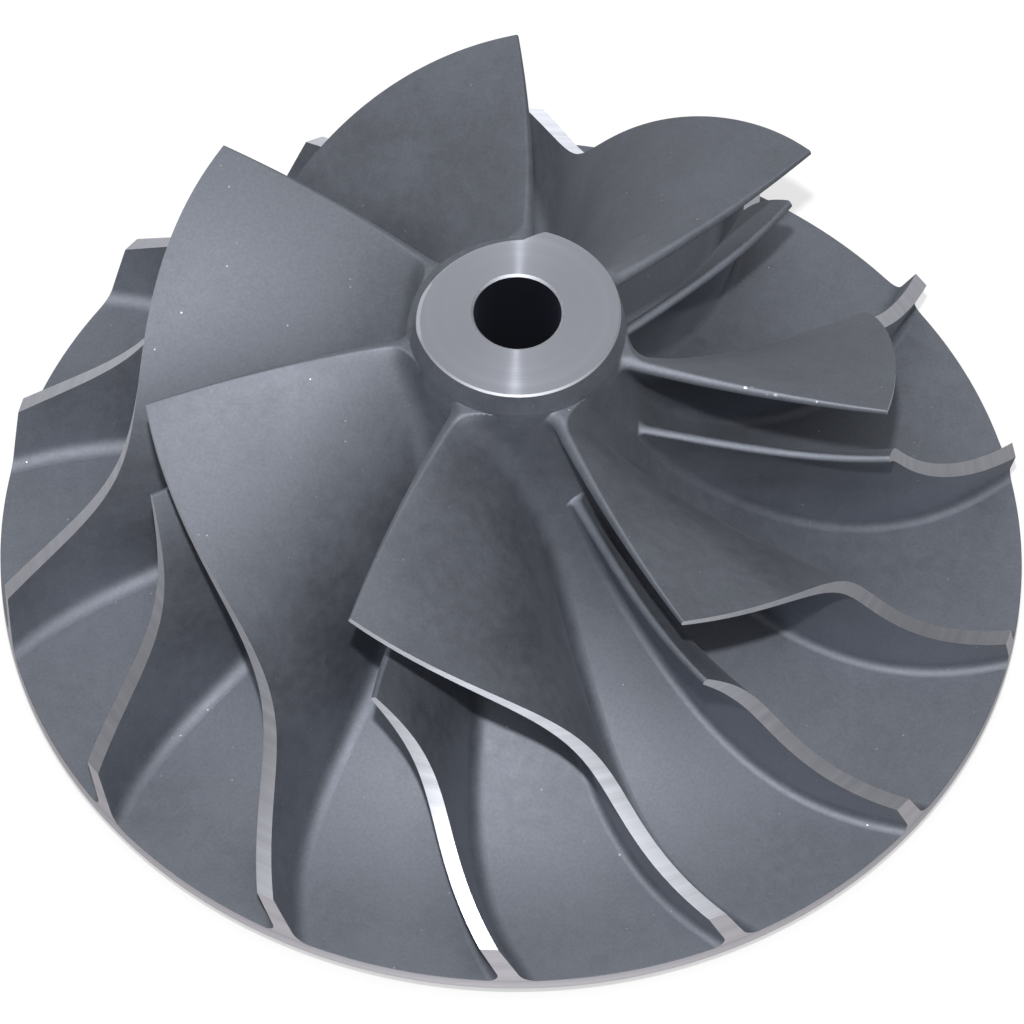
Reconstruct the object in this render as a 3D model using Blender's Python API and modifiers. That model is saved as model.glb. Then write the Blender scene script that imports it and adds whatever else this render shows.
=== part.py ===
"""Turbocharger compressor wheel: one aluminium casting with seven full blades, seven splitter blades
and a plain bore, standing on its back boss. Metres, +Z up, the axis of rotation on the Z axis."""

from math import cos, pi, radians, sin

import bmesh
import bpy
import numpy as np

MM = 0.001

# Driving dimensions.
RIM_RADIUS = 65 * MM
BORE_RADIUS = 5.5 * MM
NOSE_RADIUS = 12.9 * MM
NOSE_HEIGHT = 58.4 * MM
NOSE_CHAMFER = 0.4 * MM
BORE_CHAMFER = 0.3 * MM
DISC_UNDERSIDE = 3.9 * MM
BACK_BOSS_RADIUS = 16.5 * MM
BACK_BOSS_FILLET = 3.0 * MM
BACK_BOSS_FILLET_STEPS = 3
BACK_DISH_RADIUS = 40 * MM
BACK_DISH_HEIGHT = 3.0 * MM
SEGMENTS = 84

# The hub line as Bezier points (radius, height), from the leading edges' roots to the rim.
HUB_LINE = np.array([(13.8, 54.0), (13.8, 37.9), (14.6, 29.6), (33.0, 5.0), (49.4, 6.3), (65.0, 5.7)]) * MM
HUB_STEPS = 13
# The blade tips' line, which the housing's contour follows, from the leading edge to the exit.
TIP_LINE = np.array([(47.2, 52.3), (47.9, 45.2), (46.7, 31.0), (45.9, 19.8), (65.0, 12.8)]) * MM
# How far round the axis the blade goes along each of the two lines, in degrees.
HUB_WRAP = np.array([86.0, 131.0, 134.2, 128.8, 134.3, 142.8])
TIP_WRAP = np.array([91.2, 109.0, 131.0, 130.6, 131.2, 140.1])
ROOT_SPACING = 1.5
BLADE_COUNT = 7
EXIT_INSET = 0.1 * MM

# Where each kind of blade starts along the lines, its thickness there against its own full thickness,
# the degrees that its leading edge hangs back half way up, and how many stations of points it has. It
# straightens over the share BOW_RUN of the lines.
FULL_BLADE = {"start": 0.0, "edge_share": 0.8, "bow": 0.0, "stations": 19}
SPLITTER_BLADE = {"start": 0.378, "edge_share": 0.65, "bow": 1.5, "stations": 14}
BOW_RUN = 0.35

# Blade thickness, square to the blade. At the tip it grows along the first part of the blade.
ROOT_THICKNESS = 2.2 * MM
TIP_THICKNESS_AT_INLET = 0.85 * MM
TIP_THICKNESS_AT_EXIT = 1.92 * MM
TIP_GROWN_AT = 0.7
EDGE_RUN = 0.15
WIDEST_SLANT = 2.2

# Rows of points at a blade's foot: their heights above the hub, and how far the two faces flare out
# there for the fillet. The faces look back and onward round the axis.
FOOT_ROWS = np.array([-1.05, 0.52, 2.1]) * MM
FLARE_BACK = np.array([1.65, 0.16, 0, 0, 0]) * MM
FLARE_ONWARD = np.array([2.2, 0.72, 0, 0, 0]) * MM

# Material milled off the nose's side in balancing: one long shallow cut and one short slanted one.
BALANCE_CUT_FROM = 84
BALANCE_CUT_TO = 186
BALANCE_CUT_POINTS = 18
BALANCE_CUT_RADIUS = 14.8 * MM
BALANCE_CUT_CENTRE = (1.7 * MM, -3.5 * MM)
BALANCE_CUT_DEPTH = 3.2 * MM
BALANCE_CUTTER_RADIUS = 17 * MM
SMALL_CUT_ANGLE = 174
SMALL_CUT_LEAN = 45
SMALL_CUT_SIZE = (4.0 * MM, 10.0 * MM, 5.0 * MM)
SMALL_CUT_INSET = 0.95 * MM


def clear_scene():
    for obj in list(bpy.data.objects):
        bpy.data.objects.remove(obj, do_unlink=True)


def new_collection(name):
    made = bpy.data.collections.new(name)
    bpy.context.scene.collection.children.link(made)
    return made


def add_object(name, mesh, collection):
    obj = bpy.data.objects.new(name, mesh)
    collection.objects.link(obj)
    return obj


def cast_aluminium():
    """Blasted cast aluminium, grey and satin."""
    material = bpy.data.materials.new("cast_aluminium")
    material.use_nodes = True
    shader = material.node_tree.nodes["Principled BSDF"]
    shader.inputs["Base Color"].default_value = (0.3, 0.32, 0.35, 1)
    shader.inputs["Metallic"].default_value = 1.0
    shader.inputs["Roughness"].default_value = 0.7
    return material


def bezier(points, share):
    """Points of the Bezier curve at each share of its course, by repeated blending of its control points."""
    share = np.atleast_1d(share)[:, None]
    rows = [np.broadcast_to(point, (len(share), np.size(point))) for point in points]
    while len(rows) > 1:
        rows = [first * (1 - share) + second * share for first, second in zip(rows, rows[1:])]
    return rows[0]


def ease(value):
    """The ease curve 3x^2 - 2x^3, which stays at 0 before 0 and at 1 after 1."""
    value = np.clip(value, 0, 1)
    return value**2 * (3 - 2 * value)


def hub_profile():
    """The hub's half section, a closed ring of (radius, height): down the outer side and up the bore."""
    top = [
        (BORE_RADIUS + BORE_CHAMFER, NOSE_HEIGHT),
        (NOSE_RADIUS - NOSE_CHAMFER, NOSE_HEIGHT),
        (NOSE_RADIUS, NOSE_HEIGHT - NOSE_CHAMFER),
    ]
    hub = [tuple(point) for point in bezier(HUB_LINE, np.linspace(0, 1, HUB_STEPS))]
    boss_side = BACK_BOSS_RADIUS + BACK_BOSS_FILLET
    back = [
        (RIM_RADIUS, DISC_UNDERSIDE),
        (BACK_DISH_RADIUS, BACK_DISH_HEIGHT),
        (boss_side, BACK_DISH_HEIGHT),
    ]
    fillet = [
        (boss_side - BACK_BOSS_FILLET * sin(turn), BACK_DISH_HEIGHT * cos(turn))
        for turn in np.linspace(0, pi / 2, BACK_BOSS_FILLET_STEPS + 1)[1:]
    ]
    bore = [
        (BORE_RADIUS + BORE_CHAMFER, 0.0),
        (BORE_RADIUS, BORE_CHAMFER),
        (BORE_RADIUS, NOSE_HEIGHT - BORE_CHAMFER),
    ]
    return top + hub + back + fillet + bore


def turned(name, profile, collection):
    """A solid of revolution: the closed profile turned once round the Z axis with a Screw."""
    mesh = bpy.data.meshes.new(name)
    count = len(profile)
    edges = [(index, (index + 1) % count) for index in range(count)]
    mesh.from_pydata([(radius, 0, height) for radius, height in profile], edges, [])
    obj = add_object(name, mesh, collection)
    screw = obj.modifiers.new("turn", "SCREW")
    screw.axis = "Z"
    screw.angle = 2 * pi
    screw.steps = SEGMENTS
    screw.render_steps = SEGMENTS
    screw.use_merge_vertices = True
    screw.merge_threshold = 0.01 * MM
    screw.use_smooth_shade = True
    return obj


def camber(station, height_share):
    """(radius, height, angle) of the blade's middle surface, ruled straight from the hub line to the tip
    line. station runs from 0 at the leading edge to 1 at the exit, height_share from 0 at the hub to 1 at
    the tip."""
    root_station = station**ROOT_SPACING
    root = bezier(HUB_LINE, root_station)
    tip = bezier(TIP_LINE, station)
    root_angle = bezier(np.radians(HUB_WRAP)[:, None], root_station)
    tip_angle = bezier(np.radians(TIP_WRAP)[:, None], station)
    share = height_share[:, :, None]
    place = root[:, None] * (1 - share) + tip[:, None] * share
    angle = root_angle[:, None] * (1 - share) + tip_angle[:, None] * share
    exit_radius = RIM_RADIUS - EXIT_INSET
    return np.minimum(place[..., 0], exit_radius), place[..., 1], angle[..., 0]


def slant(radius, height, angle):
    """How much wider than its thickness a cut round the axis through the blade is: with the angle's gradient
    in the radius-height plane, the square root of 1 plus (radius times gradient) squared."""
    gradient = []
    for axis in (0, 1):
        gradient.append([np.gradient(values, axis=axis) for values in (radius, height, angle)])
    (radius_m, height_m, angle_m), (radius_s, height_s, angle_s) = gradient
    area = radius_m * height_s - radius_s * height_m
    area = np.where(np.abs(area) < 1e-12, 1e-12, area)
    by_radius = (angle_m * height_s - angle_s * height_m) / area
    by_height = (radius_m * angle_s - radius_s * angle_m) / area
    return np.sqrt(1 + radius**2 * (by_radius**2 + by_height**2))


def blade_rows(span):
    """Height shares of the rows of points: buried foot, two on the fillet, one half way up, and the tip."""
    shares = FOOT_ROWS[None] / span[:, None]
    top = shares[:, -1:]
    return np.concatenate([shares, (1 + top) / 2, np.ones_like(top)], axis=1)


def half_widths(station, shares, radius, height, angle, edge_share):
    """Half the blade's width round the axis: its thickness, which thins towards the leading edge, slanted."""
    share = np.clip(shares, 0, 1)
    grown = ease(station / TIP_GROWN_AT)[:, None]
    tip = TIP_THICKNESS_AT_INLET * (1 - grown) + TIP_THICKNESS_AT_EXIT * grown
    thickness = ROOT_THICKNESS * (1 - share) + tip * share
    run = np.minimum((station - station[0]) / EDGE_RUN, 1)[:, None]
    thickness = thickness * (edge_share + (1 - edge_share) * run * (2 - run))
    return thickness * np.minimum(slant(radius, height, angle), WIDEST_SLANT) / 2


def blade(name, number, kind, collection):
    """A closed blade: a grid of points on each face, sewn together along its four edges."""
    stations = kind["stations"]
    station = np.linspace(kind["start"], 1, stations)
    ends = np.concatenate([np.zeros((stations, 1)), np.ones((stations, 1))], axis=1)
    radius, height, _ = camber(station, ends)
    span = np.hypot(radius[:, 1] - radius[:, 0], height[:, 1] - height[:, 0])
    shares = blade_rows(span)
    radius, height, angle = camber(station, shares)
    bow = radians(kind["bow"]) * (1 - ease((station - station[0]) / BOW_RUN))[:, None]
    inside = np.clip(shares, 0, 1)
    angle = angle - bow * 4 * inside * (1 - inside)
    half = half_widths(station, shares, radius, height, angle, kind["edge_share"])
    turn = number * 2 * pi / BLADE_COUNT
    faces_of_blade = []
    for side, flare in ((-1, FLARE_BACK), (1, FLARE_ONWARD)):
        around = angle + side * (half + flare) / radius + turn
        faces_of_blade.append(np.stack([radius * np.cos(around), radius * np.sin(around), height], axis=-1))
    bm = bmesh.new()
    grids = [[[bm.verts.new(point) for point in row] for row in face] for face in faces_of_blade]
    last_row, last_column = stations - 1, shares.shape[1] - 1
    outline = [(i, 0) for i in range(stations)]
    outline += [(last_row, j) for j in range(1, last_column + 1)]
    outline += [(i, last_column) for i in range(last_row - 1, -1, -1)]
    outline += [(0, j) for j in range(last_column - 1, 0, -1)]
    for i in range(last_row):
        for j in range(last_column):
            for grid in grids:
                bm.faces.new((grid[i][j], grid[i + 1][j], grid[i + 1][j + 1], grid[i][j + 1]))
    for (i, j), (k, m) in zip(outline, outline[1:] + outline[:1]):
        bm.faces.new((grids[0][i][j], grids[0][k][m], grids[1][k][m], grids[1][i][j]))
    bmesh.ops.recalc_face_normals(bm, faces=bm.faces)
    bmesh.ops.triangulate(bm, faces=bm.faces)
    mesh = bpy.data.meshes.new(name)
    bm.to_mesh(mesh)
    bm.free()
    return add_object(name, mesh, collection)


def balance_cutter(collection):
    """The long cut: what lies outside an arc set off the axis, over part of the way round the nose."""
    around = [radians(degree) for degree in np.linspace(BALANCE_CUT_FROM, BALANCE_CUT_TO, BALANCE_CUT_POINTS)]
    outer = [(BALANCE_CUTTER_RADIUS * cos(turn), BALANCE_CUTTER_RADIUS * sin(turn)) for turn in around]
    inner = []
    for turn in reversed(around):
        along = BALANCE_CUT_CENTRE[0] * cos(turn) + BALANCE_CUT_CENTRE[1] * sin(turn)
        across = BALANCE_CUT_CENTRE[0] ** 2 + BALANCE_CUT_CENTRE[1] ** 2 - along**2
        reach = along + (BALANCE_CUT_RADIUS**2 - across) ** 0.5
        inner.append((reach * cos(turn), reach * sin(turn)))
    bm = bmesh.new()
    floor = NOSE_HEIGHT - BALANCE_CUT_DEPTH
    face = bm.faces.new([bm.verts.new((x, y, floor)) for x, y in outer + inner])
    raised = bmesh.ops.extrude_face_region(bm, geom=[face])
    top = [item for item in raised["geom"] if isinstance(item, bmesh.types.BMVert)]
    bmesh.ops.translate(bm, verts=top, vec=(0, 0, 2 * BALANCE_CUT_DEPTH))
    bmesh.ops.recalc_face_normals(bm, faces=bm.faces)
    mesh = bpy.data.meshes.new("balance_cutter")
    bm.to_mesh(mesh)
    bm.free()
    return add_object("balance_cutter", mesh, collection)


def small_cutter(collection):
    """The short cut: a box whose inner side passes through the nose's face near its edge and leans in at
    the top, so that it takes off a sloped facet."""
    bpy.ops.mesh.primitive_cube_add(size=1)
    cutter = bpy.context.object
    cutter.name = "small_balance_cutter"
    cutter.scale = SMALL_CUT_SIZE
    turn, lean = radians(SMALL_CUT_ANGLE), radians(SMALL_CUT_LEAN)
    half = SMALL_CUT_SIZE[0] / 2
    reach = NOSE_RADIUS - SMALL_CUT_INSET + half * cos(lean)
    cutter.location = (reach * cos(turn), reach * sin(turn), NOSE_HEIGHT + half * sin(lean))
    cutter.rotation_euler = (0, -lean, turn)
    for owner in list(cutter.users_collection):
        owner.objects.unlink(cutter)
    collection.objects.link(cutter)
    return cutter


def apply_boolean(obj, other, operation):
    modifier = obj.modifiers.new(other.name, "BOOLEAN")
    modifier.operation = operation
    modifier.solver = "EXACT"
    modifier.object = other
    other.hide_render = True
    other.display_type = "WIRE"


def compressor_wheel(parts, helpers):
    wheel = turned("compressor_wheel", hub_profile(), parts)
    for cutter in (balance_cutter(helpers), small_cutter(helpers)):
        apply_boolean(wheel, cutter, "DIFFERENCE")
    for number in range(BLADE_COUNT):
        apply_boolean(wheel, blade(f"full_blade_{number + 1}", number, FULL_BLADE, helpers), "UNION")
    for number in range(BLADE_COUNT):
        splitter = blade(f"splitter_blade_{number + 1}", number + 0.5, SPLITTER_BLADE, helpers)
        apply_boolean(wheel, splitter, "UNION")
    return wheel


def main():
    clear_scene()
    parts = new_collection("turbocharger_compressor_wheel")
    helpers = new_collection("cutters_and_blades")
    wheel = compressor_wheel(parts, helpers)
    wheel.data.materials.append(cast_aluminium())


main()
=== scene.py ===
import bpy
import numpy as np
from mathutils import Matrix, Vector


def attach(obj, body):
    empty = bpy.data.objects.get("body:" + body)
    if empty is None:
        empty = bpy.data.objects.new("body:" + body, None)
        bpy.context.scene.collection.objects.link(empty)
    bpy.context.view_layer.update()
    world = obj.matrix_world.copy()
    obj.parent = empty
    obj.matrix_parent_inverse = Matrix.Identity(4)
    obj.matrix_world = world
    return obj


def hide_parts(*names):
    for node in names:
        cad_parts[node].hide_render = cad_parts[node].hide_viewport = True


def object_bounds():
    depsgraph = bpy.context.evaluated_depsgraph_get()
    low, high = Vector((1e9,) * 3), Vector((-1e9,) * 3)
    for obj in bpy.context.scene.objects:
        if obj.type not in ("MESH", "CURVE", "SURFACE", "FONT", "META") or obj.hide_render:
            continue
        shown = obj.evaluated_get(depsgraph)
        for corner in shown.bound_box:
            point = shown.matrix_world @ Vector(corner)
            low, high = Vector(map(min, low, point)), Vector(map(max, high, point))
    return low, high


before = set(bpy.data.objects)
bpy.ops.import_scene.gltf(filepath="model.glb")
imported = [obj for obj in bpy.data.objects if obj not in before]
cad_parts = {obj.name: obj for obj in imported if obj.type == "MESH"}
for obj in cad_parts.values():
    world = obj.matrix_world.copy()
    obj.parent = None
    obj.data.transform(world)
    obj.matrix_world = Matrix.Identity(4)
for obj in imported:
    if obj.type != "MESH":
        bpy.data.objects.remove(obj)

# Turbocharger compressor wheel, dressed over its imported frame. Shapes are worked out in millimetres
# and put into the meshes in metres; the axis of rotation is the Z axis. The camera, the lights and the
# patterns are in metres.
mm = 0.001
node = "compressor_wheel"
cadLow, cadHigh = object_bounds()
rimRadius = (cadHigh.x - cadLow.x) / 2 / mm
noseHeight = cadHigh.z / mm


# A Bezier line: its points blended two by two, again and again, until one is left.
def bezierLine(points, share):
    share = np.asarray(share, float)[..., None]
    rows = [np.asarray(point, float) for point in points]
    while len(rows) > 1:
        rows = [a * (1 - share) + b * share for a, b in zip(rows, rows[1:])]
    return rows[0]


# How fast a Bezier line moves: the difference of two near points over the step between them.
def bezierSpeed(points, share, step=1e-4):
    share = np.asarray(share, float)
    return (bezierLine(points, share + step) - bezierLine(points, share - step)) / (2 * step)


# An ease curve between two values: three times the square of the share less twice its cube.
def ease(value, start, end):
    x = np.clip((value - start) / (end - start), 0, 1)
    return x * x * (3 - 2 * x)


# A line measured along its length: the Bezier line read at many shares, with straight runs added at
# both ends, and the running sum of its steps, so that a length from its start gives radius and height.
def measuredLine(points, before, after, samples=2000):
    share = np.linspace(0, 1, samples)
    place = np.vstack([before, bezierLine(points, share), after])
    steps = np.hypot(*np.diff(place, axis=0).T)
    length = np.concatenate([[0], np.cumsum(steps)]) - steps[: len(before)].sum()
    inner = slice(len(before), len(before) + len(share))
    return {"length": length, "place": place, "share": share, "at": length[inner]}


# Radius and height of a measured line at each length.
def placeOn(line, length):
    return np.stack([np.interp(length, line["length"], line["place"][:, k]) for k in (0, 1)], -1)


# Places on a straight run between two, evenly blended, with the first left out.
def straightRun(start, end, count):
    shares = np.linspace(0, 1, count)[1:]
    return [[a * (1 - share) + b * share for a, b in zip(start, end)] for share in shares]


# Puts points in millimetres and faces into a mesh piece, which rides on the wheel's body and stands for
# it. An edge is known by its lower point number times the count of points plus its higher one.
def makePiece(name, points, quads, triangles, zones, sharp, materials):
    mesh = bpy.data.meshes.new(name)
    corners = np.concatenate([quads.ravel(), triangles.ravel()]).astype(np.int32)
    sizes = np.concatenate([np.full(len(quads), 4), np.full(len(triangles), 3)])
    mesh.vertices.add(len(points))
    mesh.vertices.foreach_set("co", (points * mm).astype(np.float32).ravel())
    mesh.loops.add(len(corners))
    mesh.loops.foreach_set("vertex_index", corners)
    mesh.polygons.add(len(sizes))
    mesh.polygons.foreach_set("loop_start", (np.cumsum(sizes) - sizes).astype(np.int32))
    mesh.polygons.foreach_set("material_index", zones.astype(np.int32))
    mesh.update(calc_edges=True)
    mesh.shade_smooth()
    ends = np.empty(len(mesh.edges) * 2, np.int32)
    mesh.edges.foreach_get("vertices", ends)
    known = np.sort(ends.reshape(-1, 2), axis=1) @ [len(points), 1]
    wanted = np.sort(sharp, axis=1) @ [len(points), 1]
    marks = mesh.attributes.new("sharp_edge", "BOOLEAN", "EDGE")
    marks.data.foreach_set("value", np.isin(known, wanted))
    for material in materials:
        mesh.materials.append(material)
    piece = bpy.data.objects.new(name, mesh)
    bpy.context.scene.collection.objects.link(piece)
    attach(piece, "root")
    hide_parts(node)


hub = {
    "line": [(13.8, 54.0), (13.8, 37.9), (14.6, 29.6), (33.0, 5.0), (49.4, 6.3), (rimRadius, 5.7)],
    "wrap": [86.0, 131.0, 134.2, 128.8, 134.3, 142.8],  # degrees that the blade roots go round
    "pastRim": 5,  # how far the line is carried on, level, past the rim
    "noseRadius": 12.9,
    "noseBend": (13.3, 56.2),  # what the nose's side bends towards, between its edge and the line
    "noseEdge": 0.25,  # edge break round the nose's face
    "boreRadius": 5.5,
    "boreEdge": 0.3,
    "rimTopEdge": 0.06,
    "rimBackEdge": 0.15,
    "underside": 3.9,  # height of the disc's back at the rim
    "dishRadius": 40.0,  # the back slopes down to here, and is level from here in
    "dishHeight": 3.0,
    "bossRadius": 16.5,
    "bossFillet": 3.0,
    "segments": 392,  # points round each row
    "rows": {
        "face": 12,
        "nose": 40,
        "line": 120,
        "back": 24,
        "dish": 16,
        "fillet": 9,
        "boss": 8,
        "bore": 14,
    },
    "zones": ["cast", "turned", "noseFace", "bore", "edge", "rim"],
}

noseStart = (hub["noseRadius"], noseHeight - hub["noseEdge"])
noseShares = np.linspace(0, 1, hub["rows"]["nose"])
noseLine = bezierLine([noseStart, hub["noseBend"], hub["line"][0]], noseShares)
hubLine = measuredLine(hub["line"], noseLine[:-1], [(rimRadius + hub["pastRim"], hub["line"][-1][1])])

# Two balance cuts in the nose's side: a milled arc, and a slanted one, which fades out round the nose.
balanceCut = {
    "from": 75.6,  # degrees round the nose where the mill starts to bite
    "full": 87.0,  # and where it is down to the arc
    "to": 190.0,
    "radius": 14.8,
    "centre": (1.7, -3.5),
    "depth": 3.2,
    "wallEnds": 0.05,  # the rows on the arc's wall stop this far above the ledge at its foot
    "ledgeInside": 0.03,  # heights of the ledge's two rows, against the cut's depth
    "ledgeOutside": -0.01,
    "facetFrom": 159.0,  # degrees again, for the slanted cut
    "facetTo": 204.0,
    "facetReach": 11.6,
    "facetLean": 1.0,
}
uncut = 99.0  # a reach past the nose's side, where a cut takes nothing away


# How far the nose's wall stands from the axis at each turn. Between the ends of the milled cut it is an
# arc whose centre is off the axis: the centre's part along the turn, plus the root of the arc's radius
# squared less the centre's part across the turn squared. A straight run-in leads to it.
def cutReach(turn):
    degrees = np.degrees(turn) % 360
    x, y = balanceCut["centre"]

    def arc(angle):
        along = x * np.cos(angle) + y * np.sin(angle)
        return along + np.sqrt(balanceCut["radius"] ** 2 - (x * x + y * y - along**2))

    start, full = balanceCut["from"], balanceCut["full"]
    runIn = np.clip((degrees - start) / (full - start), 0, 1)
    entry = hub["noseRadius"] * (1 - runIn) + arc(np.radians(full)) * runIn
    reach = np.where(degrees < full, entry, arc(turn))
    return np.where((degrees > start) & (degrees < balanceCut["to"]), reach, uncut)


# The slanted cut: its reach from the axis grows evenly with the turn and with the depth below the face.
def facetReach(turn, height):
    degrees = np.degrees(turn) % 360
    start, stop = balanceCut["facetFrom"], balanceCut["facetTo"]
    share = (degrees - start) / (stop - start)
    reach = balanceCut["facetReach"] * (1 - share) + hub["noseRadius"] * share
    reach = reach + (noseHeight - height) * balanceCut["facetLean"]
    return np.where((share > 0) & (share < 1), reach, uncut)


# The hub, disc, back and bore as one closed ring of rows: out over the nose's face, down its side and
# the hub's line, over the rim, in along the back and the boss, and up the bore. Each row is a radius and
# a height for every turn, and only the nose's rows change with the turn, where the balance cuts bite. A
# row's finish is that of the strip that leads to it, and a crisp row is a sharp edge.
def hubRows(turn):
    flat = np.ones_like(turn)
    cut = cutReach(turn)
    rows, zones, crisp = [], [], []

    def noseReach(radius, height):
        return np.minimum.reduce([radius * flat, cut, facetReach(turn, height)])

    def add(radius, height, finish, isCrisp=False):
        if isCrisp:
            crisp.append(len(rows))
        rows.append((radius * flat, height * flat))
        zones.append(hub["zones"].index(finish))

    def addRun(places, finish, crispEnd=False):
        for k, (radius, height) in enumerate(places):
            add(radius, height, finish, crispEnd and k == len(places) - 1)

    counts = hub["rows"]
    inner = hub["boreRadius"] + hub["boreEdge"]
    outer = noseReach(hub["noseRadius"], noseHeight) - hub["noseEdge"]
    add(inner, noseHeight, "edge", True)
    addRun(straightRun((inner, noseHeight), (outer, noseHeight), counts["face"]), "noseFace", True)

    floor = noseHeight - balanceCut["depth"]
    side = noseLine[noseLine[:, 1] > floor + balanceCut["wallEnds"]]
    add(noseReach(*side[0]), side[0, 1], "edge", True)
    addRun([(noseReach(radius, height), height) for radius, height in side[1:]], "cast")
    ledge = np.interp(floor, noseLine[::-1, 1], noseLine[::-1, 0])
    add(np.minimum(ledge * flat, cut), floor + balanceCut["ledgeInside"], "cast")
    add(ledge, floor + balanceCut["ledgeOutside"], "cast")

    length = np.linspace(0, hubLine["at"][-1], counts["line"])[1:-1]
    addRun(placeOn(hubLine, length), "cast")
    top, low = hub["line"][-1][1], hub["underside"]
    topEdge, backEdge = hub["rimTopEdge"], hub["rimBackEdge"]
    add(rimRadius - topEdge, top, "cast", True)
    add(rimRadius, top - topEdge, "cast", True)
    add(rimRadius, low + backEdge, "rim", True)
    add(rimRadius - backEdge, low, "rim", True)

    dish, level = hub["dishRadius"], hub["dishHeight"]
    bossSide = hub["bossRadius"] + hub["bossFillet"]
    bend = np.linspace(0, np.pi / 2, counts["fillet"])[1:]
    fillet = np.column_stack([bossSide - hub["bossFillet"] * np.sin(bend), level * np.cos(bend)])
    addRun(straightRun((rimRadius - backEdge, low), (dish, level), counts["back"]), "turned")
    addRun(straightRun((dish, level), (bossSide, level), counts["dish"]), "turned")
    addRun(fillet, "turned", True)
    addRun(straightRun((hub["bossRadius"], 0), (inner, 0), counts["boss"]), "turned", True)

    foot = (hub["boreRadius"], hub["boreEdge"])
    head = (hub["boreRadius"], noseHeight - hub["boreEdge"])
    add(*foot, "bore", True)
    addRun(straightRun(foot, head, counts["bore"]), "bore", True)
    return rows, zones, crisp


# Turns the hub's rows round the axis: a point is its row's radius times the turn's cosine and sine, at
# the row's height. Faces join each row to the next one, and the last to the first.
def makeHub(finishes):
    turn = np.arange(hub["segments"]) * 2 * np.pi / hub["segments"]
    rows, rowZones, crisp = hubRows(turn)
    radius, height = np.swapaxes(rows, 0, 1)
    points = np.stack([radius * np.cos(turn), radius * np.sin(turn), height], -1).reshape(-1, 3)
    index = np.arange(len(points)).reshape(radius.shape)
    below, beside = np.roll(index, -1, 0), np.roll(index, -1, 1)
    corner = np.roll(below, -1, 1)
    quads = np.stack([index, below, corner, beside], -1).reshape(-1, 4)
    zones = np.repeat(np.roll(rowZones, -1), len(turn))
    sharp = np.stack([index, beside], -1)[crisp].reshape(-1, 2)
    materials = [finishes[zone] for zone in hub["zones"]]
    makePiece("hub", points, quads, np.empty((0, 3), int), zones, sharp, materials)


blade = {
    "count": 7,  # full blades, with as many splitters half way between them
    "tipLine": [(47.2, 52.3), (47.9, 45.2), (46.7, 31.0), (45.9, 19.8), (rimRadius, 12.8)],
    "tipBefore": (47.1, 56.0),  # the tip line is carried on, straight, to these at both ends
    "tipAfter": (rimRadius + 3, 11.7),
    "wrap": [91.2, 109.0, 131.0, 130.6, 131.2, 140.1],  # degrees that the blade tips go round
    "rootSpacing": 1.5,
    "slowestAt": 0.03,  # nearer the leading edge the roots' pace is taken as it is here
    "starts": {"full": 0.0, "splitter": 0.378},  # station of each kind's leading edge
    "bows": {"full": 0.0, "splitter": 1.5},  # degrees that it hangs back half way up
    "bowRun": 0.35,  # share of the blade over which it straightens
    "rootThickness": 2.2,
    "tipAtInlet": 0.85,
    "tipAtExit": 1.92,
    "tipGrownAt": 0.7,
    "edgeShares": {"full": 0.8, "splitter": 0.65},  # the leading edge's thickness, against the blade's
    "edgeRun": 0.15,  # share of the blade over which it thickens
    "edgeDepth": 0.6,  # how far its round nose stands forward, against half its thickness
    "levelFrom": 0.7,  # from here the faces come to stand off round the axis alone, and end at the rim
    "steepestFace": 2,  # a steeper lean is taken as this
    # Fillets on the faces that look back and onward round the axis: at the leading edge, and further on.
    "filletsAtEdge": {"full": (1.3, 3.0), "splitter": (0.8, 1.3)},
    "fillets": (1.1, 2.1),
    "filletRun": 9.0,  # length of root over which they change
    "filletAhead": 0.4,  # how far a fillet stands ahead of the leading edge, against its width
    "steepestFillet": 0.9,
    "turnedOff": 0.9,  # the nose's turning cuts the fillets off this far above the full blades' roots
    "sunk": 0.004,  # the fillets end this far inside the hub
    "skirt": (0.4, 0.025),  # a last row, this much further out and deeper
    "skirtInset": 0.02,  # and this far inside the rim
    "stations": 110,  # columns along each face
    "crowding": 1.35,  # power that draws the stations towards the leading edge
    "capPoints": 9,  # columns round the leading edge, and across the exit
    "filletRows": 9,
    "faceRows": 34,
    "faceCrowding": 0.6,  # how much the face's rows draw together towards the tip
    "zones": {
        "full": ["cast", "turned", "rim", "nicked"],
        "splitter": ["cast", "turned", "rim"],
    },
}

tipLine = measuredLine(blade["tipLine"], [blade["tipBefore"]], [blade["tipAfter"]])

# Part of one leading edge has small bright nicks: the blade's number, and its rows and columns of faces.
nicks = {"number": 6, "rows": (18, 29), "columns": (114, 119)}


# The blade's middle surface: ruled straight from the hub line to the tip line. Its station runs from the
# leading edge to the exit, and the roots' stations are spaced by a power of it. Gives the lengths along
# both lines, the places, the angles, and how fast places and angles change along the station.
def middleSurface(station):
    power = blade["rootSpacing"]
    root = station**power
    rate = power * np.maximum(station, blade["slowestAt"]) ** (power - 1)
    rootWrap, tipWrap = (np.radians(piece["wrap"])[:, None] for piece in (hub, blade))
    return {
        "rootLength": np.interp(root, hubLine["share"], hubLine["at"]),
        "tipLength": np.interp(station, tipLine["share"], tipLine["at"]),
        "rootPlace": bezierLine(hub["line"], root),
        "tipPlace": bezierLine(blade["tipLine"], station),
        "rootTurn": bezierLine(rootWrap, root)[..., 0],
        "tipTurn": bezierLine(tipWrap, station)[..., 0],
        "rootSpeed": bezierSpeed(hub["line"], root) * rate[..., None],
        "tipSpeed": bezierSpeed(blade["tipLine"], station),
        "rootTurnSpeed": bezierSpeed(rootWrap, root)[..., 0] * rate,
        "tipTurnSpeed": bezierSpeed(tipWrap, station)[..., 0],
    }


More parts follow.
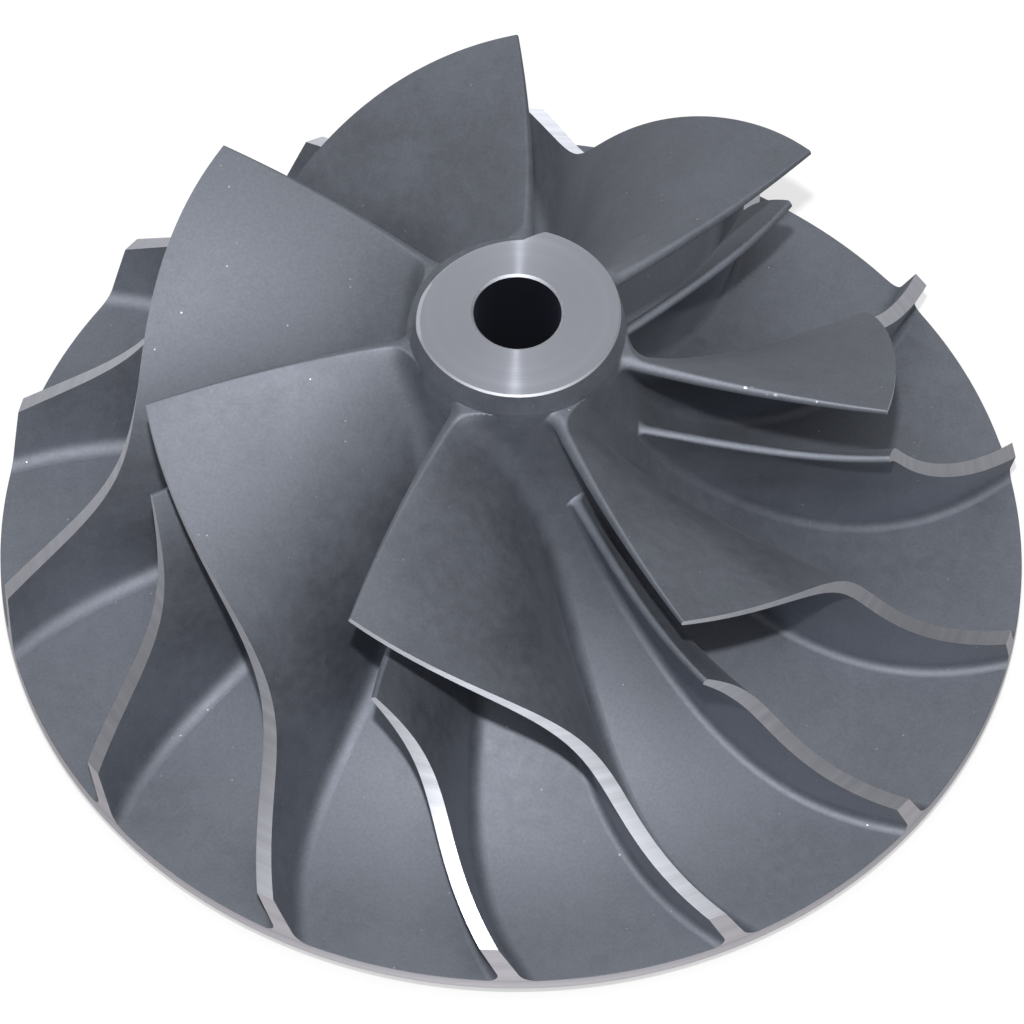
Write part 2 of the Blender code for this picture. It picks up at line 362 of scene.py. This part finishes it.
# The slope of the blade at a share of its height: the angle's gradient in the radius-height plane, times
# the radius, along the flow and straight across it. Gives the blade's height across the flow too.
def bladeSlope(middle, share):
    height = share[..., None]
    place = middle["rootPlace"] * (1 - height) + middle["tipPlace"] * height
    speed = middle["rootSpeed"] * (1 - height) + middle["tipSpeed"] * height
    turnSpeed = middle["rootTurnSpeed"] * (1 - share) + middle["tipTurnSpeed"] * share
    across = middle["tipPlace"] - middle["rootPlace"]
    turnAcross = middle["tipTurn"] - middle["rootTurn"]
    pace = np.hypot(speed[..., 0], speed[..., 1])
    along = place[..., 0] * turnSpeed / pace
    flow = speed / pace[..., None]
    square = np.stack([-flow[..., 1], flow[..., 0]], -1)
    rise = (across * square).sum(-1)
    slide = (across * flow).sum(-1)
    lean = (place[..., 0] * turnAcross - along * slide) / rise
    return along, lean, rise


# The loop of columns round a blade: along its left face from the exit, round the leading edge by the
# sine and cosine of a half turn, and back along its right face. Each has its station, its side from -1
# on the left to 1 on the right, and how far forward it stands.
def bladeColumns(kind):
    count, cap, start = blade["stations"], blade["capPoints"], blade["starts"][kind]
    line = start + (1 - start) * np.linspace(0, 1, count) ** blade["crowding"]
    swing = np.linspace(-np.pi / 2, np.pi / 2, cap + 2)[1:-1]
    station = np.concatenate([line[::-1], np.full(cap, start), line])
    sideways = np.concatenate([np.full(count, -1.0), np.sin(swing), np.full(count, 1.0)])
    forward = np.concatenate([np.zeros(count), np.cos(swing) * blade["edgeDepth"], np.zeros(count)])
    return station, sideways, forward


# The fillet at each column: an arc of one radius, tangent to the hub and to the leaning face. Round its
# bend it lifts by the radius times one less the cosine, and it flares out from the face by its reach
# less the radius times the sine and less the face's lean times the lift. Gives the rows as shares of the
# blade's height and as flares, the skirt's row first and then from the hub up.
def bladeFoot(kind, middle, sideways):
    along, lean, rise = bladeSlope(middle, np.zeros_like(sideways))
    run = ease(middle["rootLength"] - middle["rootLength"].min(), 0, blade["filletRun"])
    atEdge = np.interp(sideways, (-1, 1), blade["filletsAtEdge"][kind])
    further = np.interp(sideways, (-1, 1), blade["fillets"])
    radius = atEdge * (1 - run) + further * run
    slant = np.sqrt(1 + along**2)
    outward = np.clip(sideways * lean / slant, -blade["steepestFillet"], blade["steepestFillet"])
    corner = np.arctan2(1, outward)
    reach = radius * (np.sqrt(1 + outward**2) + outward)
    bend = np.linspace(0, 1, blade["filletRows"])[:, None] * (np.pi - corner)
    lift = radius * (1 - np.cos(bend))
    flare = reach - radius * np.sin(bend) - outward * lift
    lift = lift - blade["sunk"]
    wider, deeper = blade["skirt"]
    share = np.concatenate([lift[:1] - deeper, lift]) / rise
    return share, np.concatenate([flare[:1] + wider, flare])


# The blade's thickness at each height: blended straight from the root's to the tip's, which grows from
# the inlet on, and times a share that rises to one behind the leading edge, fast and then slower.
def bladeThickness(kind, station, height):
    start, edgeShare = blade["starts"][kind], blade["edgeShares"][kind]
    grown = ease(station, 0, blade["tipGrownAt"])
    tip = blade["tipAtInlet"] + (blade["tipAtExit"] - blade["tipAtInlet"]) * grown
    thick = blade["rootThickness"] * (1 - height) + tip * height
    edge = np.clip((station - start) / blade["edgeRun"], 0, 1)
    return thick * (edgeShare + (1 - edgeShare) * edge * (2 - edge))


# The blade's sides as rows of radius, height and angle: the fillet's rows, and then the face up to the
# tip. A point is the middle surface's, moved square to the blade by half the thickness and the fillet's
# flare, and forward round the leading edge. Near the exit it moves round the axis alone. A bow hangs the
# blade back by four times the share of height times one less that share, which is one half way up.
def bladePoints(kind):
    start, crowding, steepest = blade["starts"][kind], blade["faceCrowding"], blade["steepestFace"]
    station, sideways, forward = bladeColumns(kind)
    middle = middleSurface(station)
    foot, flare = bladeFoot(kind, middle, sideways)
    up = np.linspace(0, 1, blade["faceRows"] + 1)[1:, None]
    up = up * (1 + crowding - crowding * up)
    share = np.concatenate([foot, foot[-1] + (1 - foot[-1]) * up])
    flare = np.concatenate([flare, np.zeros((len(up), len(station)))])
    inside = np.clip(share, 0, 1)
    along, lean, _ = bladeSlope(middle, inside)
    slant = np.sqrt(1 + along**2)
    lean = np.clip(lean / slant, -steepest, steepest)
    half = bladeThickness(kind, station, inside) / 2 * np.sqrt(1 + lean**2)
    level = ease(station, blade["levelFrom"], 1.0)
    ahead = (half + flare * blade["filletAhead"]) * forward / slant
    aside = (half + flare) * sideways
    forth = -aside * along / slant * (1 - level) - ahead
    around = aside * (1 / slant * (1 - level) + slant * level) - ahead * along
    rootPlace = placeOn(hubLine, np.maximum(middle["rootLength"] + forth, -blade["turnedOff"]))
    tipPlace = placeOn(tipLine, middle["tipLength"] + forth)
    place = rootPlace * (1 - share[..., None]) + tipPlace * share[..., None]
    bow = np.radians(blade["bows"][kind]) * (1 - ease(station, start, start + blade["bowRun"]))
    turn = middle["rootTurn"] * (1 - share) + middle["tipTurn"] * share - bow * 4 * inside * (1 - inside)
    turn = turn + around / place[..., 0]
    exits = station == 1
    place[:, exits, 0] = rimRadius
    place[0, exits, 0] = rimRadius - blade["skirtInset"]
    return np.concatenate([place, turn[..., None]], -1)


# Evenly blended points between two rows of points, the ends left out.
def between(first, last, count):
    share = np.linspace(0, 1, count + 2)[1:-1][None, :, None]
    return first[:, None] * (1 - share) + last[:, None] * share


# A lid over one row of the loop: new points, numbered from the given one on, and a grid of all its point
# numbers. The grid's first line is the leading edge and its last the exit, and those between run
# straight across from the left face to the right.
def lidOver(row, numbers, first):
    count, cap = blade["stations"], blade["capPoints"]
    left = np.arange(count - 1, 0, -1)
    right = np.arange(count + cap, 2 * count + cap - 1)
    inner = between(row[left], row[right], cap).reshape(-1, 3)
    inside = first + np.arange(len(inner)).reshape(-1, cap)
    lead = numbers[count - 1 : count + cap + 1]
    lines = np.column_stack([numbers[left], inside, numbers[right]])
    last = np.append(numbers, numbers[0])[2 * count + cap - 1 :][::-1]
    return inner, np.vstack([lead, lines, last])


# A lid's faces: its grid's squares, but for both ends of the first line, where the leading edge and the
# next line start and end at the same points, so that triangles are left.
def lidFaces(grid):
    faces = np.stack([grid[:-1, :-1], grid[:-1, 1:], grid[1:, 1:], grid[1:, :-1]], -1)
    triangles = np.array([list(dict.fromkeys(face.tolist())) for face in faces[0, [0, -1]]])
    return np.concatenate([faces[0, 1:-1], faces[1:].reshape(-1, 4)]), triangles


# A blade as a closed shell, turned round the axis by a number of blade spacings. The sides' loop closes
# across the exit, straight from one face to the other, and lids close it at the foot and at the tip. The
# tip's lid is turned over, so that both face outwards.
def makeBlade(kind, number, turns, finishes):
    names = blade["zones"][kind]
    cast, turned, rim = (names.index(name) for name in ("cast", "turned", "rim"))
    sides = bladePoints(kind)
    exitColumn = sides.shape[1] - 1
    closing = between(sides[:, -1], sides[:, 0], blade["capPoints"])
    loop = np.concatenate([sides, closing], axis=1)
    index = np.arange(loop.shape[0] * loop.shape[1]).reshape(loop.shape[:2])
    beside = np.roll(index, -1, 1)
    footPoints, footGrid = lidOver(loop[0], index[0], index.size)
    tipPoints, tipGrid = lidOver(loop[-1], index[-1], index.size + len(footPoints))
    places = np.concatenate([loop.reshape(-1, 3), footPoints, tipPoints])
    turn = places[:, 2] + turns * (2 * np.pi / blade["count"])
    points = np.stack([places[:, 0] * np.cos(turn), places[:, 0] * np.sin(turn), places[:, 1]], -1)
    walls = np.stack([index[:-1], index[1:], beside[1:], beside[:-1]], -1)
    wallZones = np.full(walls.shape[:2], cast)
    wallZones[:, exitColumn:] = rim
    if kind == "full" and number == nicks["number"]:
        wallZones[slice(*nicks["rows"]), slice(*nicks["columns"])] = names.index("nicked")
    footQuads, footEnds = lidFaces(footGrid)
    tipQuads, tipEnds = lidFaces(tipGrid)
    quads = np.concatenate([walls.reshape(-1, 4), footQuads, tipQuads[:, ::-1]])
    triangles = np.concatenate([footEnds, tipEnds[:, ::-1]])
    lidCounts = [len(footQuads), len(tipQuads), len(footEnds), len(tipEnds)]
    zones = np.concatenate([wallZones.ravel(), np.repeat([cast, turned, cast, turned], lidCounts)])
    rings = [np.stack([index[row], beside[row]], -1) for row in (0, -1)]
    exitEdges = [np.stack([index[:-1, column], index[1:, column]], -1) for column in (0, exitColumn)]
    sharp = np.concatenate(rings + exitEdges)
    materials = [finishes[name] for name in names]
    makePiece(f"{kind}_blade_{number}", points, quads, triangles, zones, sharp, materials)


# Adds a node, with its settings, and its inputs as values or as sockets to link from.
def addNode(tree, kind, inputs=None, **settings):
    made = tree.nodes.new(kind)
    for name, value in settings.items():
        setattr(made, name, value)
    for name, value in (inputs or {}).items():
        if isinstance(value, bpy.types.NodeSocket):
            tree.links.new(value, made.inputs[name])
        else:
            made.inputs[name].default_value = value
    return made


# Links each socket to the input of its name.
def linkAll(tree, inputs, sockets):
    for name, socket in sockets.items():
        tree.links.new(socket, inputs[name])


# A value carried from one range to another, along a straight line that stops at both ends.
def ranged(tree, value, fromLow, fromHigh, toLow, toHigh):
    inputs = {0: value, 1: fromLow, 2: fromHigh, 3: toLow, 4: toHigh}
    return addNode(tree, "ShaderNodeMapRange", inputs).outputs[0]


# One to three values put together by a sum, a product or another operation of the Math node.
def combined(tree, operation, *values):
    return addNode(tree, "ShaderNodeMath", dict(enumerate(values)), operation=operation).outputs[0]


# Two colours blended: the first times one less the share, plus the second times the share.
def blendColour(tree, share, first, second):
    return addNode(tree, "ShaderNodeMix", {0: share, 6: first, 7: second}, data_type="RGBA").outputs[2]


# An empty node group with its sockets: names of inputs with their default values, and names of outputs.
def newGroup(name, inputs, outputs):
    tree = bpy.data.node_groups.new(name, "ShaderNodeTree")
    for label, value in inputs.items():
        kind = "NodeSocketVector" if value is None else "NodeSocketFloat"
        socket = tree.interface.new_socket(name=label, in_out="INPUT", socket_type=kind)
        if value is not None:
            socket.default_value = value
    for label in outputs:
        tree.interface.new_socket(name=label, in_out="OUTPUT", socket_type="NodeSocketFloat")
    return tree, tree.nodes.new("NodeGroupInput").outputs, tree.nodes.new("NodeGroupOutput").inputs


# The grain's inputs as they are where a material sets none, and its own fixed numbers.
grainInputs = {
    "Place": None,
    "Mottling": 90.0,
    "Grain": 2600.0,
    "Specks": 900.0,
    "Speck Share": 0.10,
    "Speck Size": 0.15,
}
grainMix = {
    "blotches": 7.0,  # scale of the second noise, against the mottling's
    "broadShare": 0.6,  # what the two noises give to the tone
    "blotchShare": 0.4,
    "smallestSpeck": 0.27,  # against the largest
    "speckCore": 0.4,  # share of a speck's reach that is fully bright
}


# Blasted grain: soft mottling from two noises, a fine pitted height from a third, and a few bright
# specks where a cell's point is near and the cell's own random number is low. Another number of the cell
# gives the speck's size. On the casting the specks paint glints; on the nicked edge they are nicks.
def blastedGrain():
    tree, given, result = newGroup("blastedGrain", grainInputs, ["Tone", "Fine Tone", "Height", "Speck"])
    place = given["Place"]

    def noise(scale, detail):
        inputs = {"Vector": place, "Scale": scale, "Detail": detail}
        return addNode(tree, "ShaderNodeTexNoise", inputs).outputs[0]

    finer = combined(tree, "MULTIPLY", given["Mottling"], grainMix["blotches"])
    broad = noise(given["Mottling"], detail=3.0)
    blotch = noise(finer, detail=2.0)
    fine = noise(given["Grain"], detail=2.0)
    blotchTone = combined(tree, "MULTIPLY", blotch, grainMix["blotchShare"])
    tone = combined(tree, "MULTIPLY_ADD", broad, grainMix["broadShare"], blotchTone)
    cell = addNode(tree, "ShaderNodeTexVoronoi", {"Vector": place, "Scale": given["Specks"]}).outputs
    numbers = addNode(tree, "ShaderNodeSeparateColor", {0: cell["Color"]}).outputs
    growth = ranged(tree, numbers[1], 0.0, 1.0, grainMix["smallestSpeck"], 1.0)
    size = combined(tree, "MULTIPLY", growth, given["Speck Size"])
    distance = combined(tree, "DIVIDE", cell["Distance"], size)
    near = ranged(tree, distance, grainMix["speckCore"], 1.0, 1.0, 0.0)
    chosen = combined(tree, "LESS_THAN", numbers[0], given["Speck Share"])
    speck = combined(tree, "MULTIPLY", near, chosen)
    linkAll(tree, result, {"Tone": tone, "Fine Tone": fine, "Height": fine, "Speck": speck})
    return tree


lathe = {
    "rings": 5000.0,  # to the metre
    "slowRings": 0.12,  # scale of the slow noise, against the fine one's
}


# Tool marks of a lathe: a noise of one dimension, read along the distance from the axis less the
# height, so that it makes rings round the axis on faces, cones and rims alike. The tone is the mean of
# a fine and a slow noise, and the height is the fine one.
def latheMarks():
    inputs = {"Place": None, "Rings": lathe["rings"]}
    tree, given, result = newGroup("latheMarks", inputs, ["Tone", "Height"])
    parts = addNode(tree, "ShaderNodeSeparateXYZ", {0: given["Place"]}).outputs
    flat = addNode(tree, "ShaderNodeCombineXYZ", {0: parts[0], 1: parts[1]}).outputs[0]
    reach = addNode(tree, "ShaderNodeVectorMath", {0: flat}, operation="LENGTH").outputs["Value"]
    along = combined(tree, "MULTIPLY", combined(tree, "SUBTRACT", reach, parts[2]), given["Rings"])

    def noise(scale, detail):
        inputs = {"W": along, "Scale": scale, "Detail": detail}
        return addNode(tree, "ShaderNodeTexNoise", inputs, noise_dimensions="1D").outputs[0]

    fine = noise(1.0, detail=2.0)
    slow = noise(lathe["slowRings"], detail=1.0)
    tone = combined(tree, "MULTIPLY", combined(tree, "ADD", fine, slow), 0.5)
    linkAll(tree, result, {"Tone": tone, "Height": fine})
    return tree


noiseSpan = (0.3, 0.7)  # nearly all of a noise's values lie in here


# A new metal, with its nodes and its shader's inputs.
def newMetal(name):
    material = bpy.data.materials.new(name)
    material.use_nodes = True
    shader = material.node_tree.nodes["Principled BSDF"].inputs
    shader["Metallic"].default_value = 1.0
    return material, material.node_tree, shader


castLook = {
    "dark": (0.250, 0.267, 0.306, 1),
    "light": (0.332, 0.355, 0.406, 1),
    "toneFrom": (0.35, 0.65),  # this span of the grain's tone
    "toneTo": (0.25, 0.75),  # covers this part of the way from dark to light
    "fineTone": 0.22,  # the most that the fine grain adds or takes off
    # a speck's colour: painted glints on the casting, bare metal nicks on the nicked edge
    "speck": (0.72, 0.73, 0.76, 1),
    "roughness": (0.64, 0.76),
    "speckRoughness": 0.4,
    "grainDepth": 0.00002,
    "grainStrength": 0.35,
    "specks": {"Specks": 900.0, "Speck Share": 0.10, "Speck Size": 0.15},
    "nicks": {"Specks": 1000.0, "Speck Share": 0.95, "Speck Size": 0.38},
}


# Blasted casting: the grain's tone blends two greys and the roughness; specks are lighter, smoother
# metal:
# painted glints on the casting, and bare metal nicks on the nicked edge.
def blastedCasting(grain, name, specks):
    material, tree, shader = newMetal(name)
    place = addNode(tree, "ShaderNodeTexCoord").outputs["Object"]
    marks = addNode(tree, "ShaderNodeGroup", {"Place": place, **specks}, node_tree=grain).outputs
    mottled = ranged(tree, marks["Tone"], *castLook["toneFrom"], *castLook["toneTo"])
    grained = ranged(tree, marks["Fine Tone"], *noiseSpan, -castLook["fineTone"], castLook["fineTone"])
    tone = combined(tree, "ADD", mottled, grained)
    tone.node.use_clamp = True
    colour = blendColour(tree, tone, castLook["dark"], castLook["light"])
    colour = blendColour(tree, marks["Speck"], colour, castLook["speck"])
    rough = ranged(tree, marks["Tone"], *noiseSpan, *castLook["roughness"])
    smoother = castLook["roughness"][0] - castLook["speckRoughness"]
    rough = combined(tree, "SUBTRACT", rough, combined(tree, "MULTIPLY", marks["Speck"], smoother))
    depth, strength = castLook["grainDepth"], castLook["grainStrength"]
    inputs = {"Height": marks["Height"], "Distance": depth, "Strength": strength}
    bump = addNode(tree, "ShaderNodeBump", inputs).outputs[0]
    linkAll(tree, shader, {"Base Color": colour, "Roughness": rough, "Normal": bump})
    return material


turnedLook = {
    "dark": (0.77, 0.785, 0.85, 1),
    "light": (0.89, 0.905, 0.98, 1),
    "roughness": (0.52, 0.58),
    "anisotropy": 0.8,
    "markDepth": 0.000003,
    "markStrength": 0.10,
}

rimLook = {
    "dark": (0.82, 0.80, 0.85, 1),
    "light": (0.92, 0.90, 0.95, 1),
    "roughness": (0.60, 0.66),
    "anisotropy": 0.5,
    "markDepth": 0.000003,
    "markStrength": 0.10,
}

noseLook = {
    "dark": (0.785, 0.82, 0.93, 1),
    "light": (0.84, 0.875, 0.99, 1),
    "roughness": (0.165, 0.195),
    "anisotropy": 1.0,
    "markDepth": 0.000002,
    "markStrength": 0.08,
}


# Turned metal: ring marks blend two bright greys and the roughness, and lie in the surface as fine
# grooves. Light spreads square to the rings, along the direction out from the axis and down.
def turnedMetal(marksGroup, name, look):
    material, tree, shader = newMetal(name)
    place = addNode(tree, "ShaderNodeTexCoord").outputs["Object"]
    marks = addNode(tree, "ShaderNodeGroup", {"Place": place}, node_tree=marksGroup).outputs
    tone = ranged(tree, marks["Tone"], *noiseSpan, 0.0, 1.0)
    colour = blendColour(tree, tone, look["dark"], look["light"])
    rough = ranged(tree, marks["Tone"], *noiseSpan, *look["roughness"])
    inputs = {"Height": marks["Height"], "Distance": look["markDepth"], "Strength": look["markStrength"]}
    bump = addNode(tree, "ShaderNodeBump", inputs).outputs[0]
    inputs = {0: place, 1: (1.0, 1.0, 0.0)}
    flat = addNode(tree, "ShaderNodeVectorMath", inputs, operation="MULTIPLY").outputs[0]
    outward = addNode(tree, "ShaderNodeVectorMath", {0: flat}, operation="NORMALIZE").outputs[0]
    inputs = {0: outward, 1: (0.0, 0.0, 1.0)}
    square = addNode(tree, "ShaderNodeVectorMath", inputs, operation="SUBTRACT").outputs[0]
    linkAll(tree, shader, {"Base Color": colour, "Roughness": rough, "Normal": bump, "Tangent": square})
    shader["Anisotropic"].default_value = look["anisotropy"]
    return material


boreLook = {"colour": (0.26, 0.27, 0.36, 1), "roughness": 0.4}
edgeLook = {"colour": (0.80, 0.82, 0.88, 1), "roughness": 0.6}


# Plain metal, for the bore and the broken edges: one colour and one roughness all over.
def plainMetal(name, look):
    material, _, shader = newMetal(name)
    shader["Base Color"].default_value = look["colour"]
    shader["Roughness"].default_value = look["roughness"]
    return material


camera = {
    "elevation": 55.2,
    "roll": 1.48,
    "distance": 1.8294,
    "target": (0, 0, 0.017),
    "sensor": 36,  # millimetres across
    "farthest": 100,  # metres that it sees
    "picture": 1024,  # pixels across
    "focal": 14445.3,  # in pixels
    "rim": 0.065,  # the rim's radius in metres, and in pixels of the picture
    "rimPixels": 513.3,
    "aside": -0.6,  # pixels that the axis of view passes beside and over the target
    "above": -10.2,
}


# The camera looks along +Y and down at the elevation, rolled about its line of sight. Pixels turn into
# metres by the rim's radius in both.
def makeCamera():
    lift, roll = np.radians(camera["elevation"]), np.radians(camera["roll"])
    back = Vector((0, -np.cos(lift), np.sin(lift)))
    right = Vector((1, 0, 0))
    up = Vector((0, np.sin(lift), np.cos(lift)))
    rightHand = right * np.cos(roll) + up * np.sin(roll)
    upHand = up * np.cos(roll) - right * np.sin(roll)
    aside, above = (camera[way] * camera["rim"] / camera["rimPixels"] for way in ("aside", "above"))
    target = Vector(camera["target"]) + rightHand * aside + upHand * above
    lens = bpy.data.cameras.new("camera")
    lens.sensor_width = camera["sensor"]
    lens.lens = camera["focal"] / camera["picture"] * camera["sensor"]
    lens.clip_end = camera["farthest"]
    holder = bpy.data.objects.new("camera", lens)
    facing = Matrix((rightHand, upHand, back)).transposed().to_4x4()
    holder.matrix_world = Matrix.Translation(target + back * camera["distance"]) @ facing
    bpy.context.scene.collection.objects.link(holder)
    bpy.context.scene.camera = holder


# The direction at a turn from the camera's side and a height, both in degrees.
def direction(turn, lift):
    turn, lift = np.radians(turn), np.radians(lift)
    return Vector((np.sin(turn) * np.cos(lift), -np.cos(turn) * np.cos(lift), np.sin(lift)))


# The studio's soft lights, all round the sky: turn from the camera's side and height, in degrees, how
# fast each falls off away from its middle, and its strength.
softLights = {
    "back": (180, 12, 6, 0.56),
    "backLeft": (225, 12, 6, 0.55),
    "backRight": (135, 12, 6, 0.15),
    "overBack": (180, 50, 12, 0.19),
    "overFront": (0, 70, 12, 1.68),
    "overRight": (60, 45, 6, 0.14),
    "frontLeft": (315, 12, 12, 0.12),
}
lightColour = (1.0, 1.0, 1.0, 1)


# The sky's light: every soft light adds its strength times exp(fall x (cosine - 1)), where the cosine is
# that of the angle between the light's middle and the direction looked in.
def makeSky():
    world = bpy.data.worlds.new("studio")
    world.use_nodes = True
    tree = world.node_tree
    looking = addNode(tree, "ShaderNodeTexCoord").outputs["Generated"]
    total = 0.0
    for turn, lift, fall, strength in softLights.values():
        inputs = {0: looking, 1: direction(turn, lift)}
        near = addNode(tree, "ShaderNodeVectorMath", inputs, operation="DOT_PRODUCT").outputs["Value"]
        power = combined(tree, "MULTIPLY", combined(tree, "SUBTRACT", near, 1.0), fall)
        glow = combined(tree, "MULTIPLY", combined(tree, "EXPONENT", power), strength)
        total = combined(tree, "ADD", glow, total)
    background = tree.nodes["Background"].inputs
    background["Color"].default_value = lightColour
    linkAll(tree, background, {"Strength": total})
    bpy.context.scene.world = world


# The round key lamp, close above the camera: its direction and distance from the camera's target.
keyLamp = {"turn": -1.0, "lift": 60.4, "distance": 1.8, "size": 0.04, "power": 22.5}


# The key lamp stands at the target plus its direction times its distance, and faces the target.
def makeKeyLamp():
    light = bpy.data.lights.new("key_lamp", "AREA")
    light.shape = "DISK"
    light.size = keyLamp["size"]
    light.energy = keyLamp["power"]
    holder = bpy.data.objects.new("key_lamp", light)
    towards = direction(keyLamp["turn"], keyLamp["lift"])
    holder.location = Vector(camera["target"]) + towards * keyLamp["distance"]
    holder.rotation_euler = towards.to_track_quat("Z", "Y").to_euler()
    bpy.context.scene.collection.objects.link(holder)


floorLook = {
    "colour": (0.45, 0.45, 0.45, 1),
    "bounce": (0.3, 0.3, 0.3, 1),  # its colour in the light that it throws back
    "glow": 0.6,  # the light that the camera sees the floor give, which keeps its shadows faint
    "roughness": 0.8,
    "reach": 3.0,
    "height": -0.00005,  # a hair under the wheel
}
black, white = (0, 0, 0, 1), (1, 1, 1, 1)


# The floor: one square, its reach to each side. Its colour and glow go by whether the camera sees it.
def makeFloor():
    reach, height = floorLook["reach"], floorLook["height"]
    mesh = bpy.data.meshes.new("floor")
    corners = [(x * reach, y * reach, height) for x, y in ((-1, -1), (1, -1), (1, 1), (-1, 1))]
    mesh.from_pydata(corners, [], [(0, 1, 2, 3)])
    material, tree, shader = newMetal("floor")
    shader["Metallic"].default_value = 0
    shader["Roughness"].default_value = floorLook["roughness"]
    shader["Emission Strength"].default_value = floorLook["glow"]
    seen = addNode(tree, "ShaderNodeLightPath").outputs["Is Camera Ray"]
    colour = blendColour(tree, seen, floorLook["bounce"], floorLook["colour"])
    glow = blendColour(tree, seen, black, white)
    linkAll(tree, shader, {"Base Color": colour, "Emission Color": glow})
    mesh.materials.append(material)
    floor = bpy.data.objects.new("floor", mesh)
    bpy.context.scene.collection.objects.link(floor)


grain = blastedGrain()
marksGroup = latheMarks()
finishes = {
    "cast": blastedCasting(grain, "blasted_casting", castLook["specks"]),
    "nicked": blastedCasting(grain, "nicked_edge", castLook["nicks"]),
    "turned": turnedMetal(marksGroup, "turned_metal", turnedLook),
    "rim": turnedMetal(marksGroup, "turned_rim", rimLook),
    "noseFace": turnedMetal(marksGroup, "turned_nose", noseLook),
    "bore": plainMetal("bore_wall", boreLook),
    "edge": plainMetal("broken_edge", edgeLook),
}
print("materials made")

makeHub(finishes)
for number in range(blade["count"]):
    makeBlade("full", number + 1, number, finishes)
    makeBlade("splitter", number + 1, number + 0.5, finishes)
print("hub and blades made")

makeCamera()
makeSky()
makeKeyLamp()
makeFloor()
bpy.context.scene.view_settings.view_transform = "Standard"
print("stage made")
